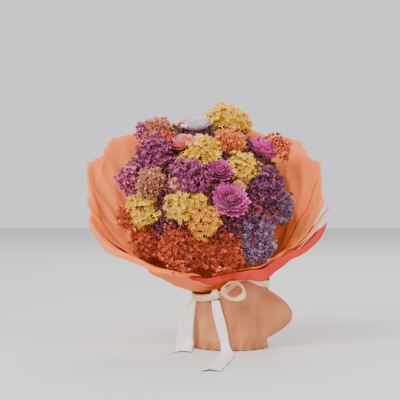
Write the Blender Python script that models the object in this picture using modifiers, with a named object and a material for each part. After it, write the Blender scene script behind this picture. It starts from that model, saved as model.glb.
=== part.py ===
"""A hand-tied bouquet of dried flowers in wrapping paper, standing on the foot of its sleeve.

Front is -Y and up is +Z. Angles round the bouquet start at the front and grow towards +X.
"""

import math

import bpy
from mathutils import Vector

OBJECT_NAME = "mixed_flower_bouquet"

# Driving dimensions, in metres.
CLEARANCE = 0.0004          # air between pieces that touch
PAPER_WALL = 0.0007         # wall of a wrapping sheet
LAYER_STEP = 0.0015         # from one wrapped sheet to the next

STEM_RADIUS = 0.0015
STEM_PITCH = 0.0034         # between neighbours in the tied bundle
TIE_HEIGHT = 0.060          # where the stems are bound
TWINE_RADIUS = 0.0012
STEM_PULL = 0.26            # how far a stem keeps its direction at either end, of its length
FAN_SOFTENING = 0.05        # evens out the fan between low and high flowers
WRAP_FOOT_HEIGHT = 0.045    # lower edge of the wrapping sheets, inside the sleeve
WRAP_NECK_RADIUS = 0.0145   # innermost sheet at the tie

RIM_CENTRE = Vector((-0.0275, 0.012, 0.170))
RIM_HALF_WIDTH = 0.124
RIM_HALF_LENGTH = 0.097
RIM_TILT = math.radians(55)     # the open face of the wrap leans this far forward from level

DOME_CENTRE = Vector((-0.031, 0.006, 0.1755))
DOME_HALF_WIDTH = 0.082
DOME_HALF_LENGTH = 0.080
DOME_RISE = 0.050               # how far the flowers crown above the wrap's open face
FLOWER_AIM = Vector((-0.022, 0.035, 0.115))  # flowers look away from this point inside the dome

SLEEVE_RADIUS = 0.042
SLEEVE_WALL = 0.0010
SLEEVE_HEM = 0.010              # edge tucked flat under the sleeve
SLEEVE_TOP_LIMIT = 0.086
FLAP_REACH = 0.026              # loose end of the sleeve paper, on the right
FLAP_ANGLE = math.radians(82)
FLAP_SPREAD = math.radians(30)
FLAP_LOW, FLAP_HIGH = 0.15, 0.84    # shares of the sleeve's height

RIBBON_WALL = 0.0006
BAND_WIDTH = 0.008
KNOT_ANGLE = math.radians(-21.5)
KNOT_HEIGHT = 0.0615
KNOT_HALF_SIZE = (0.0060, 0.0038, 0.0060)
LOOP_CENTRE = Vector((0.0017, -0.0515, 0.0660))
LOOP_HALF_WIDTH, LOOP_HALF_HEIGHT, LOOP_HALF_DEPTH = 0.0138, 0.0105, 0.0060
LOOP_TILT = math.radians(-14)

# The two free ends of the ribbon: places down the middle, each with the width there.
TAILS = {
    "ribbon_tail_left": (
        ((-0.0415, -0.0205, 0.0530), 0.006),
        ((-0.0455, -0.0220, 0.0440), 0.012),
        ((-0.0490, -0.0230, 0.0300), 0.016),
        ((-0.0505, -0.0235, 0.0160), 0.017),
        ((-0.0512, -0.0250, 0.0060), 0.018),
        ((-0.0515, -0.0290, 0.0012), 0.018),
        ((-0.0520, -0.0400, 0.0006), 0.019),
        ((-0.0530, -0.0560, 0.0006), 0.020),
    ),
    "ribbon_tail_right": (
        ((-0.0175, -0.0450, 0.0550), 0.008),
        ((-0.0155, -0.0475, 0.0440), 0.010),
        ((-0.0125, -0.0480, 0.0320), 0.011),
        ((-0.0095, -0.0485, 0.0200), 0.010),
        ((-0.0075, -0.0500, 0.0100), 0.009),
        ((-0.0062, -0.0540, 0.0035), 0.011),
        ((-0.0060, -0.0600, 0.0008), 0.014),
        ((-0.0075, -0.0800, 0.0006), 0.019),
        ((-0.0110, -0.1100, 0.0006), 0.020),
        ((-0.0155, -0.1400, 0.0006), 0.020),
        ((-0.0200, -0.1700, 0.0006), 0.020),
        ((-0.0240, -0.2000, 0.0006), 0.020),
    ),
}

# One row for each sheet: layer, then the corners of its free edge as (angle in degrees, reach),
# where a reach of 1 is the rim.
SHEETS = {
    "wrap_sheet_back": (0, ((100, 1.0), (124, 1.05), (150, 0.99), (182, 1.03), (206, 0.99), (236, 1.05), (262, 0.98))),
    "wrap_sheet_right": (1, ((38, 0.90), (58, 1.00), (74, 1.06), (88, 1.02), (104, 1.08), (118, 1.00))),
    "wrap_sheet_left": (1, ((-118, 1.02), (-102, 1.07), (-86, 1.02), (-66, 1.05), (-52, 0.99), (-40, 0.93))),
    "wrap_sheet_front_left": (2, ((-74, 1.00), (-62, 1.08), (-36, 0.99), (-16, 0.97), (-4, 0.92))),
    "wrap_sheet_front_right": (2, ((2, 0.93), (24, 1.00), (50, 1.10), (70, 1.16))),
    "wrap_sheet_front_flap": (3, ((-12, 0.84), (14, 0.94), (40, 1.03), (62, 1.14))),
}

# Flower heads: place across and up on the dome, and radius.
HEADS = {
    "statice_violet_left": (-0.106, 0.186, 0.0150),
    "statice_magenta": (-0.081, 0.212, 0.0180),
    "statice_tan": (-0.080, 0.236, 0.0140),
    "strawflower_pink": (-0.053, 0.222, 0.0125),
    "strawflower_white": (-0.037, 0.243, 0.0145),
    "daisy_yellow_top": (-0.006, 0.247, 0.0175),
    "statice_yellow_upper": (-0.029, 0.212, 0.0150),
    "statice_peach": (-0.001, 0.223, 0.0140),
    "strawflower_magenta_right": (0.034, 0.216, 0.0170),
    "strawflower_magenta_middle": (-0.015, 0.195, 0.0135),
    "strawflower_magenta_front": (-0.002, 0.162, 0.0175),
    "statice_yellow_right": (0.015, 0.194, 0.0140),
    "statice_plum": (0.033, 0.178, 0.0170),
    "statice_lavender_right": (0.048, 0.154, 0.0170),
    "statice_lavender_front": (0.022, 0.124, 0.0195),
    "statice_violet_middle": (-0.046, 0.184, 0.0180),
    "statice_cream": (-0.086, 0.176, 0.0145),
    "statice_yellow_left": (-0.094, 0.152, 0.0155),
    "statice_yellow_middle": (-0.052, 0.157, 0.0140),
    "statice_yellow_low": (-0.030, 0.140, 0.0140),
    "statice_rust_left": (-0.087, 0.122, 0.0180),
    "statice_rust_middle": (-0.054, 0.113, 0.0190),
    "statice_rust_right": (-0.010, 0.112, 0.0165),
}
HEAD_DEPTH = 0.85               # a head's depth against its width

COLOURS = {
    "orange_paper": (0.86, 0.30, 0.13, 0.75),
    "kraft_paper": (0.46, 0.20, 0.09, 0.85),
    "ribbon": (0.82, 0.80, 0.82, 0.35),
    "stem": (0.24, 0.28, 0.09, 0.70),
    "twine": (0.45, 0.34, 0.20, 0.90),
    "violet": (0.18, 0.05, 0.30, 0.80),
    "magenta": (0.45, 0.03, 0.30, 0.70),
    "tan": (0.48, 0.26, 0.14, 0.85),
    "pink": (0.75, 0.38, 0.45, 0.75),
    "white": (0.80, 0.78, 0.80, 0.75),
    "yellow": (0.85, 0.62, 0.05, 0.75),
    "peach": (0.80, 0.42, 0.18, 0.80),
    "plum": (0.10, 0.03, 0.14, 0.80),
    "lavender": (0.32, 0.27, 0.48, 0.80),
    "cream": (0.70, 0.56, 0.42, 0.85),
    "rust": (0.50, 0.15, 0.04, 0.85),
}


def material(colour_name):
    """The named colour as a Principled material, made on first use."""
    made = bpy.data.materials.get(colour_name)
    if made:
        return made
    made = bpy.data.materials.new(colour_name)
    made.use_nodes = True
    shader = made.node_tree.nodes["Principled BSDF"]
    red, green, blue, roughness = COLOURS[colour_name]
    shader.inputs["Base Color"].default_value = (red, green, blue, 1)
    shader.inputs["Roughness"].default_value = roughness
    shader.inputs["Metallic"].default_value = 0
    return made


def add_object(name, data, colour_name, collection):
    part = bpy.data.objects.new(name, data)
    part.data.materials.append(material(colour_name))
    collection.objects.link(part)
    return part


def add_shell(name, rows, closed, wall, offset, colour_name, collection):
    """A sheet through rows of points, given its wall by Solidify."""
    mesh = bpy.data.meshes.new(name)
    across = len(rows[0])
    span = across if closed else across - 1
    faces = []
    for row in range(len(rows) - 1):
        for column in range(span):
            following = (column + 1) % across
            low, high = row * across, (row + 1) * across
            faces.append((low + column, low + following, high + following, high + column))
    mesh.from_pydata([point for row in rows for point in row], [], faces)
    mesh.shade_smooth()
    shell = add_object(name, mesh, colour_name, collection)
    solidify = shell.modifiers.new("wall", "SOLIDIFY")
    solidify.thickness = wall
    solidify.offset = offset
    solidify.use_even_offset = True
    return shell


def bundle_slots(count):
    """Places of the stems in the tied bundle, hexagonally packed and nearest the middle first."""
    reach = range(-4, 5)
    slots = []
    for row in reach:
        for column in reach:
            across = STEM_PITCH * (column + 0.5 * (row % 2))
            back = STEM_PITCH * row * math.sqrt(3) / 2
            slots.append(Vector((across, back)))
    slots.sort(key=lambda slot: (round(slot.length, 6), round(math.atan2(slot.y, slot.x), 6)))
    return slots[:count]


def dome_point(across, height):
    """The front of the flower dome at this place across and this height."""
    lean, side = math.cos(RIM_TILT), math.sin(RIM_TILT)
    right = across - DOME_CENTRE.x
    up = height - DOME_CENTRE.z
    along, crown = 1 / DOME_HALF_LENGTH**2, 1 / DOME_RISE**2
    square = lean**2 * along + side**2 * crown
    linear = 2 * lean * side * up * (along - crown)
    constant = (right / DOME_HALF_WIDTH) ** 2 + (up * side) ** 2 * along + (up * lean) ** 2 * crown - 1
    inside = max(0.0, linear**2 - 4 * square * constant)
    depth = (-linear - math.sqrt(inside)) / (2 * square)
    return Vector((across, DOME_CENTRE.y + depth, height))


def settled_heads():
    """Each head's centre and radius, once the heads have pushed each other clear."""
    places = {name: Vector((across, height)) for name, (across, height, _) in HEADS.items()}
    radii = {name: radius for name, (_, _, radius) in HEADS.items()}
    names = list(HEADS)
    pairs = [(a, b) for i, a in enumerate(names) for b in names[i + 1:]]
    for _ in range(40):
        for a, b in pairs:
            apart = dome_point(*places[b]) - dome_point(*places[a])
            missing = radii[a] + radii[b] + CLEARANCE - apart.length
            if missing > 0:
                push = Vector((apart.x, apart.z)).normalized() * missing * 0.25
                places[a] -= push
                places[b] += push
    centres = {name: dome_point(*place) for name, place in places.items()}
    for a, b in pairs:
        room = (centres[b] - centres[a]).length - CLEARANCE
        excess = room / (radii[a] + radii[b])
        if excess < 1:
            radii[a] *= excess
            radii[b] *= excess
    return {name: (centres[name], radii[name]) for name in names}


def add_head(name, centre, radius, collection):
    """A flower head as its outer shape: a sphere a little flattened along its stem."""
    bpy.ops.mesh.primitive_uv_sphere_add(segments=12, ring_count=7, radius=radius)
    head = bpy.context.object
    for linked in list(head.users_collection):
        linked.objects.unlink(head)
    collection.objects.link(head)
    head.name = head.data.name = name
    head.data.materials.append(material(name.split("_")[1]))
    head.data.shade_smooth()
    for vertex in head.data.vertices:
        vertex.co.z *= HEAD_DEPTH
    head.rotation_mode = "QUATERNION"
    head.rotation_quaternion = (centre - FLOWER_AIM).to_track_quat("Z", "Y")
    head.location = centre
    return head


def curve_between(start, start_pull, end, end_pull, count):
    """Points on the cubic curve from start to end with these two pulls."""
    points = []
    for step in range(count):
        t = step / (count - 1)
        points.append(
            start * (1 - t) ** 3
            + start_pull * 3 * t * (1 - t) ** 2
            + end_pull * 3 * t**2 * (1 - t)
            + end * t**3
        )
    return points


def add_tube(name, points, radius, colour_name, collection, closed=False):
    """A round wire through the points."""
    curve = bpy.data.curves.new(name, "CURVE")
    curve.dimensions = "3D"
    curve.bevel_depth = radius
    curve.bevel_resolution = 2
    curve.use_fill_caps = not closed
    spline = curve.splines.new("POLY")
    spline.points.add(len(points) - 1)
    for control, point in zip(spline.points, points):
        control.co = (*point, 1)
    spline.use_cyclic_u = closed
    return add_object(name, curve, colour_name, collection)


def stem_slots(heads):
    """A slot in the bundle for each head, so that the stems fan out without crossing."""
    names = list(heads)
    slots = bundle_slots(len(names))
    lean = {}
    for name in names:
        centre = heads[name][0]
        rise = centre.z - TIE_HEIGHT + FAN_SOFTENING
        lean[name] = Vector((centre.x / rise, centre.y / rise))
    middle = sum(lean.values(), Vector((0, 0))) / len(names)
    widest = max((lean[name] - middle).length for name in names)
    reach = max(slot.length for slot in slots)
    wanted = [(lean[name] - middle) * reach / widest for name in names]

    def cost(head, slot):
        return (wanted[head] - slots[slot]).length_squared

    taken = list(range(len(names)))
    swapped = True
    while swapped:
        swapped = False
        for a in range(len(names)):
            for b in range(a + 1, len(names)):
                now = cost(a, taken[a]) + cost(b, taken[b])
                if cost(a, taken[b]) + cost(b, taken[a]) < now - 1e-12:
                    taken[a], taken[b] = taken[b], taken[a]
                    swapped = True
    return {name: slots[slot] for name, slot in zip(names, taken)}


def add_stem(name, slot, centre, radius, collection):
    """A stem from its cut end, up through the tie and out to the underside of its head."""
    axis = (centre - FLOWER_AIM).normalized()
    tip = centre - axis * (radius * HEAD_DEPTH + CLEARANCE)
    cut = Vector((slot.x, slot.y, 0))
    bound = Vector((slot.x, slot.y, TIE_HEIGHT + TWINE_RADIUS))
    pull = (tip - bound).length * STEM_PULL
    bend = curve_between(bound, bound + Vector((0, 0, pull)), tip, tip - axis * pull, 8)
    add_tube("stem_" + name, [cut, *bend], STEM_RADIUS, "stem", collection)


def rim_point(angle):
    forward = Vector((0, -math.cos(RIM_TILT), -math.sin(RIM_TILT)))
    return (
        RIM_CENTRE
        + Vector((math.sin(angle) * RIM_HALF_WIDTH, 0, 0))
        + forward * math.cos(angle) * RIM_HALF_LENGTH
    )


def wrap_point(angle, reach):
    """A point of the wrap's inner surface: reach runs from 0 at the tie to 1 at the rim."""
    outward = Vector((math.sin(angle), -math.cos(angle), 0))
    neck = outward * WRAP_NECK_RADIUS + Vector((0, 0, TIE_HEIGHT))
    rim = rim_point(angle)
    belly = neck.lerp(rim, 0.55)
    belly.z = neck.z + 0.12 * (rim.z - neck.z) + 0.008 + 0.010 * math.sin(angle)
    return neck * (1 - reach) ** 2 + belly * 2 * reach * (1 - reach) + rim * reach**2


def layered_point(angle, reach, layer):
    """The same point moved out to its layer, square to the surface."""
    small = 0.01
    round_it = wrap_point(angle + small, reach) - wrap_point(angle - small, reach)
    up_it = wrap_point(angle, reach + small) - wrap_point(angle, reach - small)
    outward = up_it.cross(round_it).normalized()
    return wrap_point(angle, reach) - outward * (layer * LAYER_STEP)


def edge_reach(corners, degrees):
    """Reach of a sheet's free edge at an angle, straight from corner to corner."""
    for (left, low), (right, high) in zip(corners, corners[1:]):
        if left <= degrees <= right:
            return low + (high - low) * (degrees - left) / (right - left)
    return corners[-1][1]


def add_sheet(name, layer, corners, collection):
    """One sheet of wrapping paper, from its foot inside the sleeve to its free edge."""
    first, last = corners[0][0], corners[-1][0]
    columns = 2 + round((last - first) / 9)
    rises = (0, 0.12, 0.26, 0.42, 0.58, 0.74, 0.88, 1)
    rows = [[] for _ in range(len(rises) + 1)]
    for column in range(columns):
        degrees = first + (last - first) * column / (columns - 1)
        angle = math.radians(degrees)
        top = edge_reach(corners, degrees)
        neck = layered_point(angle, 0, layer)
        neck_radius = WRAP_NECK_RADIUS + layer * LAYER_STEP
        outward = Vector((math.sin(angle), -math.cos(angle), 0))
        rows[0].append(outward * neck_radius + Vector((0, 0, WRAP_FOOT_HEIGHT)))
        rows[1].append(outward * neck_radius + Vector((0, 0, neck.z)))
        for row, rise in enumerate(rises[1:], start=2):
            rows[row].append(layered_point(angle, rise * top, layer))
    add_shell(name, rows, False, PAPER_WALL, 0, "orange_paper", collection)


def sleeve_top(angle):
    """Height of the sleeve's upper edge, just under the outermost sheet of the wrap."""
    low, high = 0.0, 1.0
    for _ in range(20):
        reach = (low + high) / 2
        point = layered_point(angle, reach, 3.6)
        if math.hypot(point.x, point.y) < SLEEVE_RADIUS:
            low = reach
        else:
            high = reach
    return min(SLEEVE_TOP_LIMIT, layered_point(angle, high, 3.6).z - CLEARANCE)


def flap_bulge(angle, share):
    """How far the loose end of the sleeve paper stands out."""
    away = (angle - FLAP_ANGLE) / FLAP_SPREAD
    rise = (share - FLAP_LOW) / (FLAP_HIGH - FLAP_LOW)
    if abs(away) >= 1 or not 0 < rise < 1:
        return 0.0
    return FLAP_REACH * math.cos(away * math.pi / 2) ** 2 * math.sin(rise * math.pi) ** 0.8


def add_sleeve(collection):
    """The kraft sleeve that the bouquet stands on, with its lower edge tucked flat underneath."""
    columns = 48
    shares = (0, 0.05, 0.2, 0.36, 0.52, 0.68, 0.84, 1)
    rows = [[] for _ in range(len(shares) + 1)]
    for column in range(columns):
        angle = -math.pi + 2 * math.pi * column / columns
        outward = Vector((math.sin(angle), -math.cos(angle), 0))
        rows[0].append(outward * (SLEEVE_RADIUS - SLEEVE_HEM))
        top = sleeve_top(angle)
        for row, share in enumerate(shares, start=1):
            height = top * share
            radius = SLEEVE_RADIUS + flap_bulge(angle, share)
            rows[row].append(outward * radius + Vector((0, 0, height)))
    add_shell("kraft_sleeve", rows, True, SLEEVE_WALL, -1, "kraft_paper", collection)


def add_twine(collection):
    """The twine that binds the stems, as one ring."""
    slots = bundle_slots(len(HEADS))
    inner = max(slot.length for slot in slots) + STEM_RADIUS + CLEARANCE
    radius = inner + TWINE_RADIUS
    bpy.ops.mesh.primitive_torus_add(
        major_radius=radius, minor_radius=TWINE_RADIUS, major_segments=28, minor_segments=8,
        location=(0, 0, TIE_HEIGHT - 2 * TWINE_RADIUS),
    )
    ring = bpy.context.object
    for linked in list(ring.users_collection):
        linked.objects.unlink(ring)
    collection.objects.link(ring)
    ring.name = ring.data.name = "binding_twine"
    ring.data.materials.append(material("twine"))


def add_band(collection):
    """The ribbon round the top of the sleeve, which follows the sleeve's slanted edge."""
    columns = 40
    low, high = [], []
    for column in range(columns):
        angle = -math.pi + 2 * math.pi * column / columns
        outward = Vector((math.sin(angle), -math.cos(angle), 0)) * (SLEEVE_RADIUS + CLEARANCE)
        top = sleeve_top(angle)
        low.append(outward + Vector((0, 0, top - BAND_WIDTH)))
        high.append(outward + Vector((0, 0, top)))
    add_shell("ribbon_band", [low, high], True, RIBBON_WALL, 1, "ribbon", collection)


def add_knot(collection):
    """The knot, against the front of the band."""
    outward = Vector((math.sin(KNOT_ANGLE), -math.cos(KNOT_ANGLE), 0))
    away = SLEEVE_RADIUS + 2 * CLEARANCE + RIBBON_WALL + KNOT_HALF_SIZE[1]
    bpy.ops.mesh.primitive_uv_sphere_add(segments=12, ring_count=7, radius=1)
    knot = bpy.context.object
    for linked in list(knot.users_collection):
        linked.objects.unlink(knot)
    collection.objects.link(knot)
    knot.name = knot.data.name = "ribbon_knot"
    knot.data.materials.append(material("ribbon"))
    for vertex in knot.data.vertices:
        vertex.co = [part * half for part, half in zip(vertex.co, KNOT_HALF_SIZE)]
    knot.location = outward * away + Vector((0, 0, KNOT_HEIGHT))
    knot.rotation_euler.z = KNOT_ANGLE


def add_loop(collection):
    """The bow's one open loop, a ring of ribbon beside the knot."""
    columns = 24
    back, front = [], []
    for column in range(columns):
        turn = 2 * math.pi * column / columns
        across = LOOP_HALF_WIDTH * math.cos(turn)
        up = LOOP_HALF_HEIGHT * math.sin(turn)
        place = LOOP_CENTRE + Vector((
            across * math.cos(LOOP_TILT) - up * math.sin(LOOP_TILT), 0,
            across * math.sin(LOOP_TILT) + up * math.cos(LOOP_TILT),
        ))
        back.append(place + Vector((0, LOOP_HALF_DEPTH, 0)))
        front.append(place - Vector((0, LOOP_HALF_DEPTH, 0)))
    add_shell("ribbon_bow_loop", [front, back], True, RIBBON_WALL, 0, "ribbon", collection)


def add_tail(name, places, collection):
    rows = []
    for place, width in places:
        half = Vector((width / 2, 0, 0))
        rows.append([Vector(place) - half, Vector(place) + half])
    add_shell(name, rows, False, RIBBON_WALL, 0, "ribbon", collection)


def stand_at_origin(collection):
    """Parents every piece to one empty, and moves it so that the origin is under the middle of the whole."""
    bpy.context.view_layer.update()
    graph = bpy.context.evaluated_depsgraph_get()
    corners = []
    for part in collection.objects:
        placed = part.evaluated_get(graph)
        shape = placed.to_mesh()
        corners.extend(placed.matrix_world @ vertex.co for vertex in shape.vertices)
        placed.to_mesh_clear()
    middle = [(min(c[i] for c in corners) + max(c[i] for c in corners)) / 2 for i in range(2)]
    base = bpy.data.objects.new("bouquet_base", None)
    for part in list(collection.objects):
        part.parent = base
    collection.objects.link(base)
    base.location = (-middle[0], -middle[1], -min(c[2] for c in corners))


def build():
    for old in list(bpy.data.objects):
        bpy.data.objects.remove(old, do_unlink=True)
    collection = bpy.data.collections.new(OBJECT_NAME)
    bpy.context.scene.collection.children.link(collection)

    heads = settled_heads()
    slots = stem_slots(heads)
    for name, (centre, radius) in heads.items():
        add_head(name, centre, radius, collection)
        add_stem(name, slots[name], centre, radius, collection)
    add_twine(collection)
    for name, (layer, corners) in SHEETS.items():
        add_sheet(name, layer, corners, collection)
    add_sleeve(collection)
    add_band(collection)
    add_knot(collection)
    add_loop(collection)
    for name, places in TAILS.items():
        add_tail(name, places, collection)
    stand_at_origin(collection)


build()
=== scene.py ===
import math
import random

import bpy
import numpy as np
from mathutils import Matrix, Vector, noise


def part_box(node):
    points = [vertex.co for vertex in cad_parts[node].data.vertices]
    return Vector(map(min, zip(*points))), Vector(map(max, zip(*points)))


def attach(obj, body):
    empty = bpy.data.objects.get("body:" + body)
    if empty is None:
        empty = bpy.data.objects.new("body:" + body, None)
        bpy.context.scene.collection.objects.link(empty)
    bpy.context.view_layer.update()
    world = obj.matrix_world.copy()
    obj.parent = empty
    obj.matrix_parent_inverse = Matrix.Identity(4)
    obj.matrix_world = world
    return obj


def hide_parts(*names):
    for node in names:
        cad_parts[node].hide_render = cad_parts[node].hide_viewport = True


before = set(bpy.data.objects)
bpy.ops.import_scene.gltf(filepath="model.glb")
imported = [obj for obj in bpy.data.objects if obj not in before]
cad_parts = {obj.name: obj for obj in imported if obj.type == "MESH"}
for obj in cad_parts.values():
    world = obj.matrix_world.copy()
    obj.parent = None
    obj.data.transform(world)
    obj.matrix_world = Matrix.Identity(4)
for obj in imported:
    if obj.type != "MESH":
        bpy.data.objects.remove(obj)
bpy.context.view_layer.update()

# the bouquet's own axis runs up the middle of the binding twine, and its front is -Y
twineRadius = 0.0012
twineLow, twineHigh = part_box("binding_twine")
tie = Vector(((twineLow[0] + twineHigh[0]) / 2, (twineLow[1] + twineHigh[1]) / 2, 0))
tieHeight = twineHigh[2] + twineRadius
fullTurn = 2 * math.pi
random.seed(7)

colourLook = {"vivid": 1.42, "bright": 0.97}


def rgb(red, green, blue):
    # screen values from 0 to 255 as linear colour, made somewhat stronger
    grey = (red + green + blue) / 3
    linear = []
    for value in (red, green, blue):
        strong = (grey + (value - grey) * colourLook["vivid"]) * colourLook["bright"]
        share = max(0.0, min(255.0, strong)) / 255
        linear.append(share / 12.92 if share <= 0.04 else ((share + 0.055) / 1.055) ** 2.4)
    return (*linear, 1.0)


def deselectAll():
    for each in bpy.context.selected_objects:
        each.select_set(False)


def makePiece(name, points, faces, material, perPoint=None, smooth=True):
    # papers and ribbons follow formulas, so their meshes are built from points
    mesh = bpy.data.meshes.new(name)
    mesh.from_pydata([tuple(point) for point in points], [], [tuple(face) for face in faces])
    for label, values in (perPoint or {}).items():
        attribute = mesh.attributes.new(label, "FLOAT", "POINT")
        attribute.data.foreach_set("value", np.asarray(values, np.float32))
    mesh.materials.append(material)
    if smooth:
        mesh.shade_smooth()
    piece = bpy.data.objects.new(name, mesh)
    bpy.context.scene.collection.objects.link(piece)
    return piece


def gridFaces(rows, columns, closed=False):
    # squares between neighbouring rows of points; a closed row joins its last point to its first
    faces = []
    for row in range(rows - 1):
        here, above = row * columns, (row + 1) * columns
        for column in range(columns if closed else columns - 1):
            following = (column + 1) % columns
            faces.append((here + column, here + following, above + following, above + column))
    return faces


def hoopFaces(turns, across):
    # squares round a closed band whose points are listed across it, turn by turn
    faces = []
    for turn in range(turns):
        here, ahead = turn * across, (turn + 1) % turns * across
        for place in range(across - 1):
            faces.append((here + place, ahead + place, ahead + place + 1, here + place + 1))
    return faces


def solidify(piece, wall, insideMaterial=0):
    modifier = piece.modifiers.new("wall", "SOLIDIFY")
    modifier.material_offset = insideMaterial
    modifier.thickness = wall
    modifier.offset = 0
    deselectAll()
    bpy.context.view_layer.objects.active = piece
    piece.select_set(True)
    bpy.ops.object.modifier_apply(modifier=modifier.name)
    piece.select_set(False)


def belong(piece):
    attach(piece, "root")


def standsFor(piece, node):
    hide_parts(node)
    belong(piece)


def buildFibreGroup():
    # fine fibres and slow blotches, from the piece's own place
    group = bpy.data.node_groups.new("fibreGrain", "ShaderNodeTree")
    for label, value in (("Fine Scale", 900.0), ("Blotch Scale", 30.0)):
        socket = group.interface.new_socket(label, in_out="INPUT", socket_type="NodeSocketFloat")
        socket.default_value = value
    for label in ("Fibre", "Blotch"):
        group.interface.new_socket(label, in_out="OUTPUT", socket_type="NodeSocketFloat")
    inside = group.nodes.new("NodeGroupInput")
    outside = group.nodes.new("NodeGroupOutput")
    place = group.nodes.new("ShaderNodeTexCoord")
    for scale, label, detail in (("Fine Scale", "Fibre", 6), ("Blotch Scale", "Blotch", 3)):
        texture = group.nodes.new("ShaderNodeTexNoise")
        texture.inputs["Detail"].default_value = detail
        group.links.new(place.outputs["Object"], texture.inputs["Vector"])
        group.links.new(inside.outputs[scale], texture.inputs["Scale"])
        group.links.new(texture.outputs["Fac"], outside.inputs[label])
    return group


fibreGrain = buildFibreGroup()


def newMaterial(name, roughness):
    made = bpy.data.materials.new(name)
    made.use_nodes = True
    shader = made.node_tree.nodes["Principled BSDF"]
    shader.inputs["Roughness"].default_value = roughness
    return made, made.node_tree, shader


def addRamp(tree, stops):
    node = tree.nodes.new("ShaderNodeValToRGB")
    first, last = node.color_ramp.elements
    first.position, first.color = stops[0]
    last.position, last.color = stops[-1]
    for position, colour in stops[1:-1]:
        node.color_ramp.elements.new(position).color = colour
    return node


def addMix(tree, blend, factor):
    node = tree.nodes.new("ShaderNodeMix")
    node.data_type, node.blend_type = "RGBA", blend
    node.inputs["Factor"].default_value = factor
    return node


def addAttribute(tree, label):
    node = tree.nodes.new("ShaderNodeAttribute")
    node.attribute_name = label
    return node


def addGrain(tree, shader, strength, distance, fineScale=900, blotchScale=30):
    # grain raised on the surface; the group's blotches are left for the colour
    grain = tree.nodes.new("ShaderNodeGroup")
    grain.node_tree = fibreGrain
    grain.inputs["Fine Scale"].default_value = fineScale
    grain.inputs["Blotch Scale"].default_value = blotchScale
    bump = tree.nodes.new("ShaderNodeBump")
    bump.inputs["Strength"].default_value = strength
    bump.inputs["Distance"].default_value = distance
    tree.links.new(grain.outputs["Fibre"], bump.inputs["Height"])
    tree.links.new(bump.outputs["Normal"], shader.inputs["Normal"])
    return grain


def paperMaterial(name, dark, middle, light, roughness=0.78):
    made, tree, shader = newMaterial(name, roughness)
    grain = addGrain(tree, shader, 0.25, 0.0004)
    colours = addRamp(tree, [(0.25, rgb(*dark)), (0.5, rgb(*middle)), (0.78, rgb(*light))])
    tree.links.new(grain.outputs["Blotch"], colours.inputs["Fac"])
    speckle = addMix(tree, "MULTIPLY", 0.18)
    tree.links.new(colours.outputs["Color"], speckle.inputs["A"])
    tree.links.new(grain.outputs["Fibre"], speckle.inputs["B"])
    tree.links.new(speckle.outputs["Result"], shader.inputs["Base Color"])
    return made


def petalMaterial(name, dark, middle, light, tip):
    # tint differs from floret to floret, along runs from a petal's base to its tip
    made, tree, shader = newMaterial(name, 0.6)
    tint, along = addAttribute(tree, "tint"), addAttribute(tree, "along")
    colours = addRamp(tree, [(0.0, rgb(*dark)), (0.5, rgb(*middle)), (1.0, rgb(*light))])
    tree.links.new(tint.outputs["Fac"], colours.inputs["Fac"])
    # painted shade: each floret and bract darkened towards its base and throat, standing for the shade down
    # inside the head
    shade = addRamp(tree, [(0.0, (0.30, 0.30, 0.30, 1)), (0.55, (1, 1, 1, 1)), (1.0, (1, 1, 1, 1))])
    tree.links.new(along.outputs["Fac"], shade.inputs["Fac"])
    shadedBase = addMix(tree, "MULTIPLY", 0.85)
    tree.links.new(colours.outputs["Color"], shadedBase.inputs["A"])
    tree.links.new(shade.outputs["Color"], shadedBase.inputs["B"])
    edge = addRamp(tree, [(0.72, (0, 0, 0, 1)), (1.0, (0.5, 0.5, 0.5, 1))])
    tree.links.new(along.outputs["Fac"], edge.inputs["Fac"])
    tipped = addMix(tree, "MIX", 0.5)
    tree.links.new(edge.outputs["Color"], tipped.inputs["Factor"])
    tree.links.new(shadedBase.outputs["Result"], tipped.inputs["A"])
    tipped.inputs["B"].default_value = rgb(*tip)
    tree.links.new(tipped.outputs["Result"], shader.inputs["Base Color"])
    addGrain(tree, shader, 0.35, 0.0003, fineScale=1500)
    shader.inputs["Sheen Weight"].default_value = 0.25
    return made


def satinMaterial(name, dark, middle, light):
    made, tree, shader = newMaterial(name, 0.38)
    grain = addGrain(tree, shader, 0.15, 0.0002, fineScale=2500, blotchScale=60)
    colours = addRamp(tree, [(0.3, rgb(*dark)), (0.5, rgb(*middle)), (0.7, rgb(*light))])
    tree.links.new(grain.outputs["Blotch"], colours.inputs["Fac"])
    tree.links.new(colours.outputs["Color"], shader.inputs["Base Color"])
    shader.inputs["Sheen Weight"].default_value = 0.4
    return made


orangePaper = paperMaterial("orangePaper", (238, 124, 70), (248, 140, 86), (252, 158, 106))
# deep red painted shade: the inner face of the front flap, standing for the shadow in the pocket under its
# lip
shadedInsidePaper = paperMaterial("shadedInsidePaper", (134, 30, 12), (158, 40, 16), (184, 60, 28))
kraftPaper = paperMaterial("kraftPaper", (164, 112, 78), (184, 130, 95), (200, 148, 114))
stemSkin = paperMaterial("stemSkin", (70, 66, 26), (104, 98, 44), (140, 128, 70), 0.6)
twineFibre = paperMaterial("twineFibre", (120, 92, 58), (160, 128, 86), (190, 160, 118), 0.9)
satin = satinMaterial("satinRibbon", (226, 218, 218), (240, 233, 230), (247, 240, 235))
# painted shade and orange bounce light: a beige copy of the white satin, for the ribbon parts under the
# collar
shadedSatin = satinMaterial("shadedSatinRibbon", (214, 176, 148), (232, 198, 170), (240, 212, 188))
driedLeaf = petalMaterial("driedLeaf", (44, 34, 18), (86, 66, 34), (124, 100, 52), (140, 116, 70))

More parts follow.
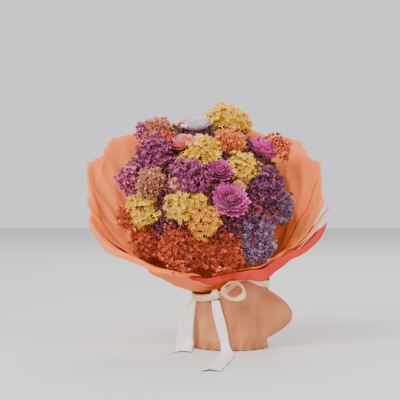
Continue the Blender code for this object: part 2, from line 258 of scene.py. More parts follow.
# dark, middle and light colour of the florets, and the colour of their tips
petalColours = {
    "violet": ((98, 20, 58), (150, 58, 100), (212, 132, 160), (226, 160, 176)),
    "orchid": ((80, 12, 52), (126, 34, 86), (172, 84, 134), (204, 134, 172)),
    "magenta": ((134, 8, 80), (184, 34, 134), (226, 96, 186), (240, 150, 212)),
    "tan": ((150, 76, 52), (206, 132, 100), (244, 184, 150), (248, 210, 180)),
    "pink": ((206, 96, 118), (236, 144, 156), (248, 196, 186), (250, 224, 200)),
    "white": ((222, 206, 214), (240, 232, 240), (250, 246, 250), (252, 250, 252)),
    "yellow": ((202, 150, 20), (236, 194, 30), (248, 214, 48), (252, 226, 80)),
    "gold": ((196, 128, 24), (232, 170, 36), (246, 196, 56), (250, 214, 90)),
    "peach": ((190, 98, 40), (226, 148, 80), (248, 190, 124), (250, 210, 156)),
    "plum": ((56, 6, 34), (94, 26, 66), (136, 66, 110), (164, 100, 140)),
    "lavender": ((86, 52, 78), (142, 106, 134), (198, 170, 194), (220, 202, 220)),
    "cream": ((156, 102, 70), (212, 160, 126), (242, 204, 172), (248, 224, 198)),
    "rust": ((136, 44, 18), (190, 88, 46), (226, 136, 88), (236, 164, 116)),
}
petals = {}
for kind, colours in petalColours.items():
    petals[kind] = petalMaterial(kind + "Petal", *colours)
print("materials made")


# each small shape is modelled once, facing +Z, and then copied onto the heads
def readTemplate(alongOf):
    # takes the shape being edited as points, faces and its base-to-tip values, and removes it
    bpy.ops.object.mode_set(mode="OBJECT")
    shape = bpy.context.object
    points = np.array([tuple(vertex.co) for vertex in shape.data.vertices])
    faces = [tuple(face.vertices) for face in shape.data.polygons]
    bpy.data.objects.remove(shape, do_unlink=True)
    return points, faces, np.array([alongOf(point) for point in points])


def floretTemplate(lobes, depth, notch, ruffle):
    # a papery funnel: its rim is drawn out into lobes and its middle pushed down to a point
    throat, flare = 0.45, 2.2
    deselectAll()
    bpy.ops.mesh.primitive_circle_add(vertices=lobes * 2, radius=throat, fill_type="NOTHING")
    bpy.ops.object.mode_set(mode="EDIT")
    bpy.ops.mesh.extrude_region_move(TRANSFORM_OT_translate={"value": (0, 0, depth * 0.5)})
    bpy.ops.transform.resize(value=(flare, flare, 1))
    bpy.ops.object.mode_set(mode="OBJECT")
    mesh = bpy.context.object.data
    for vertex in mesh.vertices:
        place = vertex.co
        if math.hypot(place.x, place.y) > throat * 1.3:
            between = round(math.atan2(place.y, place.x) / math.pi * lobes) % 2
            place.x *= 1 - notch * between
            place.y *= 1 - notch * between
            place.z += ruffle * (1 - 2 * between)
    bpy.ops.object.mode_set(mode="EDIT")
    bpy.ops.mesh.select_all(action="DESELECT")
    bpy.ops.object.mode_set(mode="OBJECT")
    for vertex in mesh.vertices:
        vertex.select = math.hypot(vertex.co.x, vertex.co.y) < throat * 1.1
    for edge in mesh.edges:
        edge.select = all(mesh.vertices[i].select for i in edge.vertices)
    bpy.ops.object.mode_set(mode="EDIT")
    bpy.ops.mesh.extrude_region_move(TRANSFORM_OT_translate={"value": (0, 0, -depth * 0.7)})
    bpy.ops.mesh.merge(type="CENTER")
    return readTemplate(lambda point: min(1.0, math.hypot(point[0], point[1])))


def bractTemplate(width, curl):
    # one pointed petal along +Y, cupped and curling up towards its tip
    tipWidth, cupping = 0.04, 0.35
    deselectAll()
    bpy.ops.mesh.primitive_grid_add(x_subdivisions=3, y_subdivisions=4, size=1, location=(0, 0.5, 0))
    for vertex in bpy.context.object.data.vertices:
        along = vertex.co.y + 0.5
        spread = math.sin(math.pi * min(1, 0.18 + along * 0.82)) ** 0.6 if along < 0.999 else tipWidth
        vertex.co.x *= width * spread * 2
        vertex.co.z = curl * along ** 2 + cupping * vertex.co.x ** 2 / width
        vertex.co.y = along
    bpy.ops.object.mode_set(mode="EDIT")
    return readTemplate(lambda point: min(1.0, max(0.0, point[1])))


floret = floretTemplate(5, 0.9, 0.28, 0.10)
spikyFloret = floretTemplate(4, 1.5, 0.62, 0.18)
raggedFloret = floretTemplate(6, 0.7, 0.55, 0.22)
bract = bractTemplate(0.30, 0.25)
leafShape = bractTemplate(0.16, 0.15)


def scatter(name, template, places, material):
    # places holds (matrix, tint); each copy gets its own points in one mesh
    points, faces, along = template
    allPoints, allFaces, tints, alongs = [], [], [], []
    for index, (matrix, tint) in enumerate(places):
        allPoints.append(points @ np.array(matrix.to_3x3()).T + np.array(matrix.translation))
        tints.extend([tint] * len(points))
        alongs.extend(along)
        base = index * len(points)
        allFaces.extend(tuple(base + corner for corner in face) for face in faces)
    perPoint = {"tint": tints, "along": alongs}
    return makePiece(name, np.concatenate(allPoints), allFaces, material, perPoint, smooth=False)


def facing(direction, spin, tilt):
    # a turn that takes +Z to the direction, spun about itself and tilted a little
    turn = direction.to_track_quat("Z", "Y").to_matrix().to_4x4()
    return turn @ Matrix.Rotation(spin, 4, "Z") @ Matrix.Rotation(tilt, 4, "X")


flowerAim = tie + Vector((-0.022, 0.035, 0.115))  # all heads look away from here
goldenAngle = math.pi * (3 - math.sqrt(5))
headBoxShare = 2 * math.sqrt(2.85)  # a head's box across its corners, in head radii


def headPlace(node):
    low, high = (Vector(corner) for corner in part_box(node))
    centre = (low + high) / 2
    return centre, (high - low).length / headBoxShare, (centre - flowerAim).normalized()


sprayLook = {"reach": 1.22, "cover": 1.9, "ragged": (0.66, 1.10), "lump": 0.28, "lumpScale": 2.3,
             "sizes": (0.75, 1.2), "tilt": 0.9, "sideways": 0.8, "forward": 0.35}


def sprayPlaces(centre, radius, axis, size, count):
    # florets all over the outward side of a ball, turned outwards
    look = sprayLook
    axisTurn = axis.to_track_quat("Z", "Y").to_matrix()
    places = []
    for i in range(count):
        share = (i + 0.5) / count
        polar = math.acos(1 - share * (1 - math.cos(look["cover"])))
        around = i * goldenAngle
        ring = math.sin(polar)
        local = Vector((ring * math.cos(around), ring * math.sin(around), math.cos(polar)))
        out = axisTurn @ local
        shell = radius * look["reach"] * random.uniform(*look["ragged"])
        lump = 1 + look["lump"] * noise.noise(local * look["lumpScale"] + centre * 40)
        place = centre + out * shell * lump
        scale = size * random.uniform(*look["sizes"])
        turn = facing(out * look["sideways"] + axis * look["forward"], random.uniform(0, 6.3),
                      random.uniform(-look["tilt"], look["tilt"]))
        matrix = Matrix.Translation(place) @ turn @ Matrix.Scale(scale, 4)
        places.append((matrix, random.betavariate(2, 2)))
    return places


bloomLook = {"rings": 7, "innerCount": 14, "moreOutside": 8, "opening": 80, "closing": 66,
             "length": 0.55, "longer": 0.66}


def bloomPlaces(centre, radius, axis):
    # a strawflower: rings of stiff pointed bracts, open outside and closed over the middle
    look = bloomLook
    axisTurn = axis.to_track_quat("Z", "Y").to_matrix().to_4x4()
    places = []
    for ring in range(look["rings"]):
        share = ring / (look["rings"] - 1)
        count = round(look["innerCount"] + look["moreOutside"] * share)
        opened = math.radians(look["opening"] - look["closing"] * share)
        for i in range(count):
            spin = fullTurn * (i + 0.5 * (ring % 2)) / count + random.uniform(-0.06, 0.06)
            length = radius * (look["length"] + look["longer"] * share) * random.uniform(0.90, 1.06)
            tilt = Matrix.Rotation(opened + random.uniform(-0.08, 0.08), 4, "X")
            base = Matrix.Translation((0, radius * (0.10 + 0.10 * share), radius * (0.30 - 0.65 * share)))
            local = Matrix.Rotation(spin, 4, "Z") @ base @ tilt @ Matrix.Scale(length, 4)
            tint = random.betavariate(2, 2) * (0.55 + 0.45 * share)
            places.append((Matrix.Translation(centre) @ axisTurn @ local, tint))
    return places


# colour, floret, its size and how many of them
sprayHeads = {
    "statice_violet_left": ("violet", floret, 0.0028, 230),
    "statice_magenta": ("orchid", floret, 0.0028, 260),
    "statice_tan": ("tan", spikyFloret, 0.0024, 190),
    "statice_yellow_upper": ("yellow", raggedFloret, 0.0034, 150),
    "statice_peach": ("peach", spikyFloret, 0.0026, 190),
    "statice_yellow_right": ("yellow", raggedFloret, 0.0032, 130),
    "statice_plum": ("plum", floret, 0.0030, 220),
    "statice_lavender_right": ("lavender", spikyFloret, 0.0032, 180),
    "statice_lavender_front": ("lavender", spikyFloret, 0.0034, 220),
    "statice_violet_middle": ("orchid", floret, 0.0028, 240),
    "statice_cream": ("cream", spikyFloret, 0.0026, 180),
    "statice_yellow_left": ("yellow", raggedFloret, 0.0034, 160),
    "statice_yellow_middle": ("yellow", raggedFloret, 0.0034, 130),
    "statice_yellow_low": ("gold", raggedFloret, 0.0032, 130),
    "statice_rust_left": ("rust", spikyFloret, 0.0024, 330),
    "statice_rust_middle": ("rust", spikyFloret, 0.0024, 350),
    "statice_rust_right": ("rust", spikyFloret, 0.0024, 320),
    "daisy_yellow_top": ("yellow", raggedFloret, 0.0042, 190),
}
bloomHeads = {
    "strawflower_pink": "pink",
    "strawflower_white": "white",
    "strawflower_magenta_right": "magenta",
    "strawflower_magenta_middle": "magenta",
    "strawflower_magenta_front": "magenta",
}


def makeHeads():
    # each head's colour and floret are listed in the tables above
    for node, (kind, template, size, count) in sprayHeads.items():
        places = sprayPlaces(*headPlace(node), size, count)
        piece = scatter(node + "_florets", template, places, petals[kind])
        standsFor(piece, node)
    for node, kind in bloomHeads.items():
        piece = scatter(node + "_bracts", bract, bloomPlaces(*headPlace(node)), petals[kind])
        standsFor(piece, node)


makeHeads()
print("flower heads made")

# smaller sprays that close the gaps: the head each sits by, its colour and floret, how far it is
# moved down the front, to the right and out, its share of that head's radius, size and count
besideSprays = (
    ("statice_rust_left", "rust", spikyFloret, (0.008, -0.002, 0.001), 0.90, 0.0024, 240),
    ("statice_rust_middle", "rust", spikyFloret, (0.009, 0.002, 0.001), 0.90, 0.0024, 260),
    ("statice_rust_right", "rust", spikyFloret, (0.012, 0.003, 0.000), 0.92, 0.0024, 240),
    ("statice_rust_right", "rust", spikyFloret, (0.008, -0.016, 0.002), 0.80, 0.0024, 180),
    ("statice_lavender_front", "lavender", spikyFloret, (0.012, 0.004, -0.002), 0.85, 0.0032, 130),
    ("statice_lavender_front", "plum", floret, (-0.004, -0.020, -0.004), 0.75, 0.0028, 110),
    ("statice_plum", "orchid", floret, (0.004, -0.018, -0.002), 0.70, 0.0028, 110),
    ("statice_yellow_middle", "yellow", raggedFloret, (-0.004, 0.018, 0.006), 0.42, 0.0032, 34),
    ("statice_yellow_left", "orchid", floret, (-0.002, 0.020, -0.004), 0.70, 0.0028, 110),
    ("statice_yellow_left", "rust", spikyFloret, (0.004, -0.016, -0.006), 0.70, 0.0024, 130),
    ("strawflower_pink", "rust", spikyFloret, (-0.002, -0.018, -0.006), 0.90, 0.0024, 110),
    ("strawflower_pink", "pink", floret, (0.000, 0.018, 0.000), 0.60, 0.0026, 60),
    ("statice_yellow_upper", "yellow", raggedFloret, (0.008, -0.018, -0.004), 0.60, 0.0032, 70),
    ("strawflower_magenta_middle", "orchid", floret, (0.002, -0.018, -0.004), 0.80, 0.0028, 90),
    ("strawflower_magenta_right", "rust", spikyFloret, (-0.004, 0.016, -0.004), 0.80, 0.0024, 120),
    ("statice_tan", "violet", floret, (-0.004, -0.014, -0.004), 0.70, 0.0026, 100),
    ("strawflower_magenta_front", "cream", raggedFloret, (-0.016, 0.010, 0.004), 0.30, 0.0026, 30),
    ("statice_violet_middle", "cream", raggedFloret, (0.012, -0.014, 0.006), 0.28, 0.0024, 26),
    ("daisy_yellow_top", "yellow", raggedFloret, (0.000, 0.014, -0.002), 0.75, 0.0042, 90),
    ("daisy_yellow_top", "yellow", raggedFloret, (0.002, -0.012, -0.004), 0.65, 0.0040, 70),
)
rimTilt = math.radians(55)  # the flowers and the collar lean this far towards the viewer
domeAlong = Vector((0, math.cos(rimTilt), math.sin(rimTilt)))
domeOut = Vector((0, -math.sin(rimTilt), math.cos(rimTilt)))


def makeBesideSprays():
    groups = {}
    for node, kind, template, (down, right, out), share, size, count in besideSprays:
        centre, radius, _ = headPlace(node)
        centre = centre - domeAlong * down + Vector((right, 0, 0)) + domeOut * out
        places = sprayPlaces(centre, radius * share, (centre - flowerAim).normalized(), size, count)
        groups.setdefault((kind, id(template)), (kind, template, []))[2].extend(places)
    for index, (kind, template, places) in enumerate(groups.values()):
        piece = scatter("beside_spray_%d_%s" % (index, kind), template, places, petals[kind])
        belong(piece)


fillerLook = {"centre": tie + Vector((-0.031, 0.006, 0.1755)), "halfWidth": 0.086, "halfLength": 0.084,
              "rise": 0.050, "sink": 0.006, "scatter": 0.7, "lean": math.radians(70), "sizes": (0.7, 1.2)}
# how many, how near the surface of the dome they sit, and their length
leafFiller = (420, 0.86, 0.017)
sprigFiller = {
    "plum": (floret, (900, 0.95, 0.0032)),
    "orchid": (floret, (700, 0.99, 0.0026)),
    "rust": (spikyFloret, (420, 0.97, 0.0026)),
}


def fillerPlaces(count, shrink, length):
    look = fillerLook
    places = []
    for i in range(count):
        radius = math.sqrt((i + 0.5) / count)
        around = i * goldenAngle + length * 900
        crown = math.sqrt(max(0.0, 1 - radius ** 2))
        place = (look["centre"] + Vector((look["halfWidth"] * radius * math.cos(around), 0, 0)) * shrink
                 + domeAlong * look["halfLength"] * radius * math.sin(around) * shrink
                 + domeOut * (look["rise"] * crown * shrink - look["sink"]))
        out = (place - flowerAim).normalized()
        astray = Vector([random.uniform(-look["scatter"], look["scatter"]) for _ in range(3)])
        turn = facing(out + astray, random.uniform(0, 6.3), look["lean"])
        scale = Matrix.Scale(length * random.uniform(*look["sizes"]), 4)
        places.append((Matrix.Translation(place) @ turn @ scale, random.random()))
    return places


def makeFiller():
    belong(scatter("sprig_leaves", leafShape, fillerPlaces(*leafFiller), driedLeaf))
    for kind, (template, amounts) in sprigFiller.items():
        sprigs = scatter("sprig_florets_" + kind, template, fillerPlaces(*amounts), petals[kind])
        belong(sprigs)


makeBesideSprays()
makeFiller()
print("filler made")

wrapLook = {"wall": 0.0004, "layerStep": 0.0015, "neckRadius": 0.0145, "footHeight": 0.045,
            "footShare": 0.08, "bellyPlace": 0.55, "bellyRise": 0.12, "bellyLift": 0.008, "bellyLean": 0.010,
            "columns": 130, "rows": 64, "crumple": 0.0030, "pleat": 0.0030, "pleats": 17, "ragged": 0.012,
            "flareFrom": 0.55, "lipRows": 10, "lipRoll": 0.0016, "lipTurn": math.radians(150)}
rimLook = {"centre": tie + Vector((-0.0275, 0.012, 0.170)), "halfWidth": 0.124, "halfLength": 0.097}
# layer, corners of the free edge as (degrees from the front, reach), how far the edge flares
# away, length of the turned-out lip, and the paper seen on its inside: 0 orange, 1 deep red
# painted shade, standing for the shadow in the pocket under the turned-out lip
sheetLooks = {
    "wrap_sheet_back": (
        0, ((100, 1.0), (124, 1.05), (150, 0.99), (182, 1.03), (206, 0.99), (236, 1.05), (262, 0.98)),
        0.004, 0, 0),
    "wrap_sheet_right": (
        1, ((38, 0.90), (58, 1.00), (74, 1.06), (88, 1.02), (104, 1.08), (118, 1.00)), 0.004, 0, 0),
    "wrap_sheet_left": (
        1, ((-118, 1.02), (-102, 1.07), (-86, 1.02), (-66, 1.05), (-52, 0.99), (-40, 0.93)), 0.004, 0, 0),
    "wrap_sheet_front_left": (
        2, ((-74, 1.00), (-62, 1.08), (-36, 0.99), (-16, 0.97), (-4, 0.92)), 0.006, 0.007, 0),
    "wrap_sheet_front_right": (2, ((2, 0.93), (24, 1.00), (50, 1.10), (70, 1.16)), 0.005, 0, 0),
    "wrap_sheet_front_flap": (3, ((-12, 0.84), (14, 0.94), (40, 1.03), (62, 1.14)), 0.008, 0.011, 1),
}


def outwardAt(angle):
    return Vector((math.sin(angle), -math.cos(angle), 0))


def rimPoint(angle):
    sideways = Vector((math.sin(angle) * rimLook["halfWidth"], 0, 0))
    return rimLook["centre"] + sideways - domeAlong * math.cos(angle) * rimLook["halfLength"]


def wrapPoint(angle, reach):
    # a curve from the neck at the tie over the belly to the rim
    look = wrapLook
    neck = tie + outwardAt(angle) * look["neckRadius"] + Vector((0, 0, tieHeight))
    rim = rimPoint(angle)
    belly = neck.lerp(rim, look["bellyPlace"])
    rise = look["bellyRise"] * (rim.z - neck.z)
    belly.z = neck.z + rise + look["bellyLift"] + look["bellyLean"] * math.sin(angle)
    return neck * (1 - reach) ** 2 + belly * 2 * reach * (1 - reach) + rim * reach ** 2


def wrapNormal(angle, reach):
    step = 0.01
    roundIt = wrapPoint(angle + step, reach) - wrapPoint(angle - step, reach)
    upIt = wrapPoint(angle, reach + step) - wrapPoint(angle, reach - step)
    return -upIt.cross(roundIt).normalized()


def layeredPoint(angle, reach, out):
    return wrapPoint(angle, reach) + wrapNormal(angle, max(reach, 0.02)) * out


def edgeReach(corners, degrees):
    for (left, low), (right, high) in zip(corners, corners[1:]):
        if left <= degrees <= right:
            return low + (high - low) * (degrees - left) / (right - left)
    return corners[-1][1]


def crumple(angle, reach):
    # the same for all sheets, so that they lie on each other without crossing
    place = Vector((math.sin(angle) * 2.2, math.cos(angle) * 2.2, reach * 2.4))
    soft = noise.noise(place * 1.3)
    sharp = abs(noise.noise(place * 2.6 + Vector((5, 3, 1)))) - 0.25
    fade = min(1.0, reach * 2.5)
    pleat = math.sin(angle * wrapLook["pleats"] + 2 * noise.noise(place)) * wrapLook["pleat"]
    return (soft * 1.6 + sharp * 1.8) * wrapLook["crumple"] * fade + pleat * max(0.0, 0.75 - reach) * fade


def sheetPoint(degrees, share, layer, corners, flare):
    look = wrapLook
    angle = math.radians(degrees)
    if share < look["footShare"]:
        foot = tie + outwardAt(angle) * (look["neckRadius"] + layer * look["layerStep"])
        rise = (tieHeight - look["footHeight"]) * share / look["footShare"]
        return foot + Vector((0, 0, look["footHeight"] + rise))
    ragged = look["ragged"] * noise.noise(Vector((degrees * 0.35, layer * 7.0, 0)))
    reach = (edgeReach(corners, degrees) + ragged) * (share - look["footShare"]) / (1 - look["footShare"])
    near = max(0.0, reach - look["flareFrom"]) / (1 - look["flareFrom"])
    return layeredPoint(angle, reach, layer * look["layerStep"] + crumple(angle, reach) + flare * near ** 2)


def lipPoint(edge, degrees, share, across, layer, corners, lip):
    # the free edge turns over outwards and hangs a little, widest in its middle
    look = wrapLook
    angle, reach = math.radians(degrees), edgeReach(corners, degrees)
    out = wrapNormal(angle, reach)
    up = (wrapPoint(angle, reach) - wrapPoint(angle, reach - 0.02)).normalized()
    middle = math.sin(math.pi * across) ** 0.5
    length = lip * middle * (0.8 + 0.5 * noise.noise(Vector((degrees * 0.05, layer, 3))))
    turn = min(1.0, share * 2.5) * look["lipTurn"]
    roll = look["lipRoll"] * middle
    hang = max(0.0, share - 0.4) / 0.6 * length
    return (edge + out * (roll * (1 - math.cos(turn)) + hang * 0.55)
            + up * (roll * math.sin(turn) - hang * 0.8))


def makeSheet(node, layer, corners, flare, lip, inside):
    first, last = corners[0][0], corners[-1][0]
    columns = max(30, int(wrapLook["columns"] * (last - first) / 160))
    rows = wrapLook["rows"]
    steps = [(first + (last - first) * column / (columns - 1), column / (columns - 1))
             for column in range(columns)]
    points = []
    for row in range(rows):
        for degrees, _ in steps:
            points.append(sheetPoint(degrees, row / (rows - 1), layer, corners, flare))
    if lip:
        edge = points[-columns:]
        for lipRow in range(1, wrapLook["lipRows"] + 1):
            share = lipRow / wrapLook["lipRows"]
            for start, (degrees, across) in zip(edge, steps):
                points.append(lipPoint(start, degrees, share, across, layer, corners, lip))
        rows += wrapLook["lipRows"]
    sheet = makePiece(node + "_paper", points, gridFaces(rows, columns), orangePaper)
    # the second slot holds the deep red painted shade, put on the inner face where the inside value is 1
    sheet.data.materials.append(shadedInsidePaper)
    solidify(sheet, wrapLook["wall"], inside)
    standsFor(sheet, node)


for node, look in sheetLooks.items():
    makeSheet(node, *look)
print("wrapping sheets made")

sleeveLook = {"radius": 0.042, "hem": 0.010, "wall": 0.0006, "columns": 220, "rows": 70, "hemRows": 10,
              "topLimit": 0.086, "outsideWrap": 0.0054, "clearance": 0.0004, "inset": 0.0006,
              "flapReach": 0.026, "flapAngle": math.radians(82), "flapSpread": math.radians(30),
              "flapLow": 0.15, "flapHigh": 0.84, "crease": 0.0030, "scallop": 0.0026, "tuck": 0.0012,
              "wrinkle": 0.0022, "crinkle": 0.0008}


def sleeveTop(angle):
    # the height at which the collar has grown as wide as the sleeve, found by halving
    look = sleeveLook
    low, high = 0.0, 1.0
    for _ in range(18):
        reach = (low + high) / 2
        point = layeredPoint(angle, reach, look["outsideWrap"]) - tie
        if math.hypot(point.x, point.y) < look["radius"]:
            low = reach
        else:
            high = reach
    return min(look["topLimit"], layeredPoint(angle, high, look["outsideWrap"]).z - look["clearance"])


def sleeveBulge(angle, share):
    # the loose flap that stands out on the right
    look = sleeveLook
    away = (angle - look["flapAngle"]) / look["flapSpread"]
    rise = (share - look["flapLow"]) / (look["flapHigh"] - look["flapLow"])
    if abs(away) >= 1 or not 0 < rise < 1:
        return 0.0
    return look["flapReach"] * math.cos(away * math.pi / 2) ** 2 * math.sin(rise * math.pi) ** 0.8


def scallopWave(angle):
    return abs(math.sin(angle * 11 + 0.6 * math.sin(angle * 3)))


def hemPoint(angle, share):
    # the lower edge is tucked flat underneath
    look = sleeveLook
    radius = look["radius"] - look["hem"] * (1 - share)
    height = 0.0003 + look["tuck"] * scallopWave(angle) * share
    return tie + outwardAt(angle) * radius + Vector((0, 0, height))


def sleevePoint(angle, share, top):
    look = sleeveLook
    place = Vector((math.sin(angle) * 2.5, math.cos(angle) * 2.5, share * 2.5))
    crease = look["crease"] * abs(math.sin(angle * 4.5 + 0.8 + 0.5 * noise.noise(place))) ** 6
    scallop = look["scallop"] * scallopWave(angle) * max(0.0, 1 - share * 6)
    wrinkle = look["wrinkle"] * noise.noise(place * 1.6)
    crinkle = look["crinkle"] * (abs(noise.noise(place * 4)) - 0.3)
    radius = look["radius"] + sleeveBulge(angle, share) - crease + wrinkle + crinkle - scallop - look["inset"]
    height = max(0.0004, top * share) + scallop * 0.5
    return tie + outwardAt(angle) * radius + Vector((0, 0, height))


def makeSleeve():
    columns, rows, hemRows = sleeveLook["columns"], sleeveLook["rows"], sleeveLook["hemRows"]
    angles = [-math.pi + fullTurn * column / columns for column in range(columns)]
    tops = [sleeveTop(angle) for angle in angles]
    points = []
    for row in range(hemRows):
        points.extend(hemPoint(angle, row / hemRows) for angle in angles)
    for row in range(rows):
        points.extend(sleevePoint(angle, row / (rows - 1), top) for angle, top in zip(angles, tops))
    faces = gridFaces(rows + hemRows, columns, closed=True)
    sleeve = makePiece("kraft_sleeve_paper", points, faces, kraftPaper)
    solidify(sleeve, sleeveLook["wall"])
    standsFor(sleeve, "kraft_sleeve")


makeSleeve()
print("sleeve made")

ribbonLook = {"width": 0.020, "wall": 0.0005, "thinWall": 0.0004, "across": 9, "cup": 0.0012,
              "wave": 0.0012, "cutShare": 0.14}


def smoothLine(values, count):
    # points evenly along a smooth curve through the given ones
    values = [np.array(value, float) for value in values]
    padded = [2 * values[0] - values[1], *values, 2 * values[-1] - values[-2]]
    line = []
    for i in range(count):
        spot = i / (count - 1) * (len(values) - 1)
        span = min(int(spot), len(values) - 2)
        u = spot - span
        a, b, c, d = padded[span:span + 4]
        cubic = (2 * a - 5 * b + 4 * c - d) * u * u + (3 * b - a - 3 * c + d) * u ** 3
        line.append(0.5 * (2 * b + (c - a) * u + cubic))
    return line


# each free end's way down from the tie as (x, y, z, width), rows along it and depth of the cut tip
tails = {
    "ribbon_tail_left": (60, 0.010, (
        (-0.0415, -0.0205, 0.0530, 0.006), (-0.0455, -0.0220, 0.0440, 0.012),
        (-0.0490, -0.0230, 0.0300, 0.016), (-0.0505, -0.0235, 0.0160, 0.017),
        (-0.0512, -0.0250, 0.0060, 0.018), (-0.0515, -0.0290, 0.0012, 0.018),
        (-0.0520, -0.0400, 0.0006, 0.019), (-0.0530, -0.0560, 0.0006, 0.020))),
    "ribbon_tail_right": (120, 0.012, (
        (-0.0175, -0.0450, 0.0550, 0.008), (-0.0155, -0.0475, 0.0440, 0.010),
        (-0.0125, -0.0480, 0.0320, 0.011), (-0.0095, -0.0485, 0.0200, 0.010),
        (-0.0075, -0.0500, 0.0100, 0.009), (-0.0062, -0.0540, 0.0035, 0.011),
        (-0.0060, -0.0600, 0.0008, 0.014), (-0.0075, -0.0800, 0.0006, 0.019),
        (-0.0110, -0.1100, 0.0006, 0.020), (-0.0155, -0.1400, 0.0006, 0.020),
        (-0.0200, -0.1700, 0.0006, 0.020), (-0.0240, -0.2000, 0.0006, 0.020))),
}


def makeTail(node, count, cutDepth, route):
    look = ribbonLook
    line = smoothLine(route, count)
    points = []
    for i, (x, y, z, width) in enumerate(line):
        cut = cutDepth * max(0.0, (i / (count - 1) - (1 - look["cutShare"])) / look["cutShare"])
        lying = 1 - min(1.0, max(0.0, z - 0.001) / 0.004)  # 0 where it hangs, 1 on the surface
        for j in range(look["across"]):
            side = j / (look["across"] - 1) * 2 - 1
            cup = (1 - lying) * look["cup"] * side * side
            wave = lying * look["wave"] * (1 + math.sin(i * 0.33 + side * 0.8)) * 0.5
            forward = y - cup + cut * (1 - abs(side)) * lying
            points.append(tie + Vector((x + side * width / 2, forward, max(0.0005, z) + wave)))
    tail = makePiece(node + "_satin", points, gridFaces(count, look["across"]), satin)
    solidify(tail, look["wall"])
    standsFor(tail, node)
    length, area = 0, 0
    for start, end in zip(line, line[1:]):
        step = math.dist(start[:3], end[:3])
        length += step
        area += step * (start[3] + end[3]) / 2
    print(node, "length", round(length, 4), "area", round(area, 6))


bandLook = {"columns": 160, "across": 5, "out": 0.0009, "fold": 0.0004, "below": 0.0075, "height": 0.007}


def makeBand():
    # gathered ribbon round the top of the sleeve
    look = bandLook
    points = []
    for column in range(look["columns"]):
        angle = -math.pi + fullTurn * column / look["columns"]
        top = sleeveTop(angle)
        for j in range(look["across"]):
            share = j / (look["across"] - 1)
            radius = sleeveLook["radius"] + look["out"] + look["fold"] * math.sin(share * 9 + angle * 5)
            height = top - look["below"] + look["height"] * share
            points.append(tie + outwardAt(angle) * radius + Vector((0, 0, height)))
    faces = hoopFaces(look["columns"], look["across"])
    # the band is in the beige painted-shade copy of the satin
    band = makePiece("ribbon_band_satin", points, faces, shadedSatin)
    solidify(band, ribbonLook["thinWall"])
    standsFor(band, "ribbon_band")


loopLook = {"columns": 64, "across": 9, "tilt": math.radians(-14), "edge": 0.001, "pinch": 0.55}


def makeLoop():
    # one bow loop, pinched at the knot and wider towards its front edge
    look = loopLook
    low, high = (Vector(corner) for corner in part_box("ribbon_bow_loop"))
    centre, half = (low + high) / 2, (high - low) / 2
    sine, cosine = math.sin(look["tilt"]), math.cos(look["tilt"])
    points = []
    for column in range(look["columns"]):
        turn = fullTurn * column / look["columns"]
        pinch = 1 - look["pinch"] * max(0.0, -math.cos(turn)) ** 4
        for j in range(look["across"]):
            share = j / (look["across"] - 1)
            swell = 0.72 + 0.30 * share + 0.05 * math.sin(turn * 3 + share * 3)
            x = math.cos(turn) * (half.x - look["edge"]) * swell
            z = math.sin(turn) * (half.z - look["edge"]) * swell * pinch
            y = high.y - 0.0004 - (2 * half.y - 0.0008) * share * (0.5 + 0.5 * pinch)
            points.append(Vector((centre.x + x * cosine - z * sine, y, centre.z + x * sine + z * cosine)))
    faces = hoopFaces(look["columns"], look["across"])
    # the loop is in the beige painted-shade copy of the satin
    loop = makePiece("ribbon_bow_loop_satin", points, faces, shadedSatin)
    solidify(loop, ribbonLook["thinWall"])
    standsFor(loop, "ribbon_bow_loop")


knotLook = {"fold": 0.20, "square": 0.10}


def makeKnot():
    low, high = (Vector(corner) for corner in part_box("ribbon_knot"))
    centre, half = (low + high) / 2, (high - low) / 2
    deselectAll()
    bpy.ops.mesh.primitive_uv_sphere_add(segments=32, ring_count=18, radius=1)
    knot = bpy.context.object
    knot.name = "ribbon_knot_satin"
    for vertex in knot.data.vertices:
        x, y, z = vertex.co
        fold = 1 - knotLook["fold"] * abs(math.sin(x * 4.2 + z * 1.8 + 0.9)) ** 4
        square = 1 - knotLook["square"] * abs(z) ** 3
        vertex.co = centre + Vector((x * half.x * square, y * half.y, z * half.z)) * fold
    # the knot is in the beige painted-shade copy of the satin
    knot.data.materials.append(shadedSatin)
    knot.data.shade_smooth()
    standsFor(knot, "ribbon_knot")


for node, look in tails.items():
    makeTail(node, *look)
makeBand()
makeLoop()
makeKnot()
print("ribbon made")

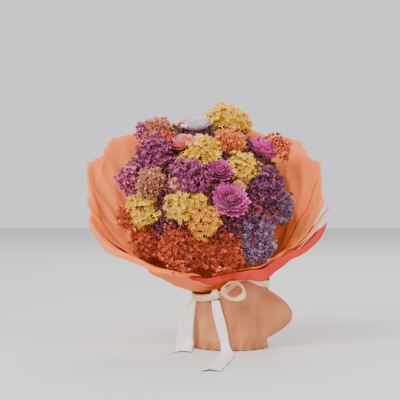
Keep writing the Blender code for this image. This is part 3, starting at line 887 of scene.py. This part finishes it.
# stems and twine keep their modelled shapes
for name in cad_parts:
    if name.startswith("stem_") or name == "binding_twine":
        for holder in bpy.data.objects[name].material_slots:
            holder.material = stemSkin if name.startswith("stem_") else twineFibre

stageLook = {"floor": (214, 212, 208), "floorSize": 6, "world": (226, 226, 230), "worldStrength": 1.45,
             "target": (-0.034, 0, 0.1617), "distance": 1.6, "rise": math.radians(1.4),
             "viewHeight": 0.44, "sensor": 36}
# place from the bouquet's axis, size across and power of each lamp
lampLooks = {
    "keyLight": ((-0.9, -1.3, 1.5), 1.0, 52),
    "fillLight": ((1.4, -0.9, 0.9), 1.4, 14),
    "backLight": ((0.3, 1.4, 1.4), 1.2, 22),
}


def aim(thing, target):
    thing.rotation_euler = (target - thing.location).to_track_quat("-Z", "Y").to_euler()
    bpy.context.scene.collection.objects.link(thing)


def makeFloor():
    deselectAll()
    bpy.ops.mesh.primitive_plane_add(size=stageLook["floorSize"], location=(tie.x, tie.y, 0))
    floor = bpy.context.object
    floor.name = "floor"
    made, _, shader = newMaterial("paleFloor", 0.85)
    shader.inputs["Base Color"].default_value = rgb(*stageLook["floor"])
    floor.data.materials.append(made)


def makeLights():
    world = bpy.context.scene.world or bpy.data.worlds.new("studio")
    bpy.context.scene.world = world
    world.use_nodes = True
    background = world.node_tree.nodes["Background"]
    background.inputs["Color"].default_value = rgb(*stageLook["world"])
    background.inputs["Strength"].default_value = stageLook["worldStrength"]
    for name, (place, across, power) in lampLooks.items():
        lamp = bpy.data.lights.new(name, "AREA")
        lamp.energy, lamp.size = power, across
        light = bpy.data.objects.new(name, lamp)
        light.location = tie + Vector(place)
        aim(light, tie + Vector((0, 0, 0.13)))


def makeCamera():
    distance, rise = stageLook["distance"], stageLook["rise"]
    camera = bpy.data.objects.new("camera", bpy.data.cameras.new("camera"))
    target = tie + Vector(stageLook["target"])
    camera.location = target + Vector((0, -math.cos(rise), math.sin(rise))) * distance
    camera.data.sensor_width = stageLook["sensor"]
    camera.data.lens = stageLook["sensor"] * distance / stageLook["viewHeight"]
    aim(camera, target)
    bpy.context.scene.camera = camera


makeFloor()
makeLights()
makeCamera()
print("stage made")
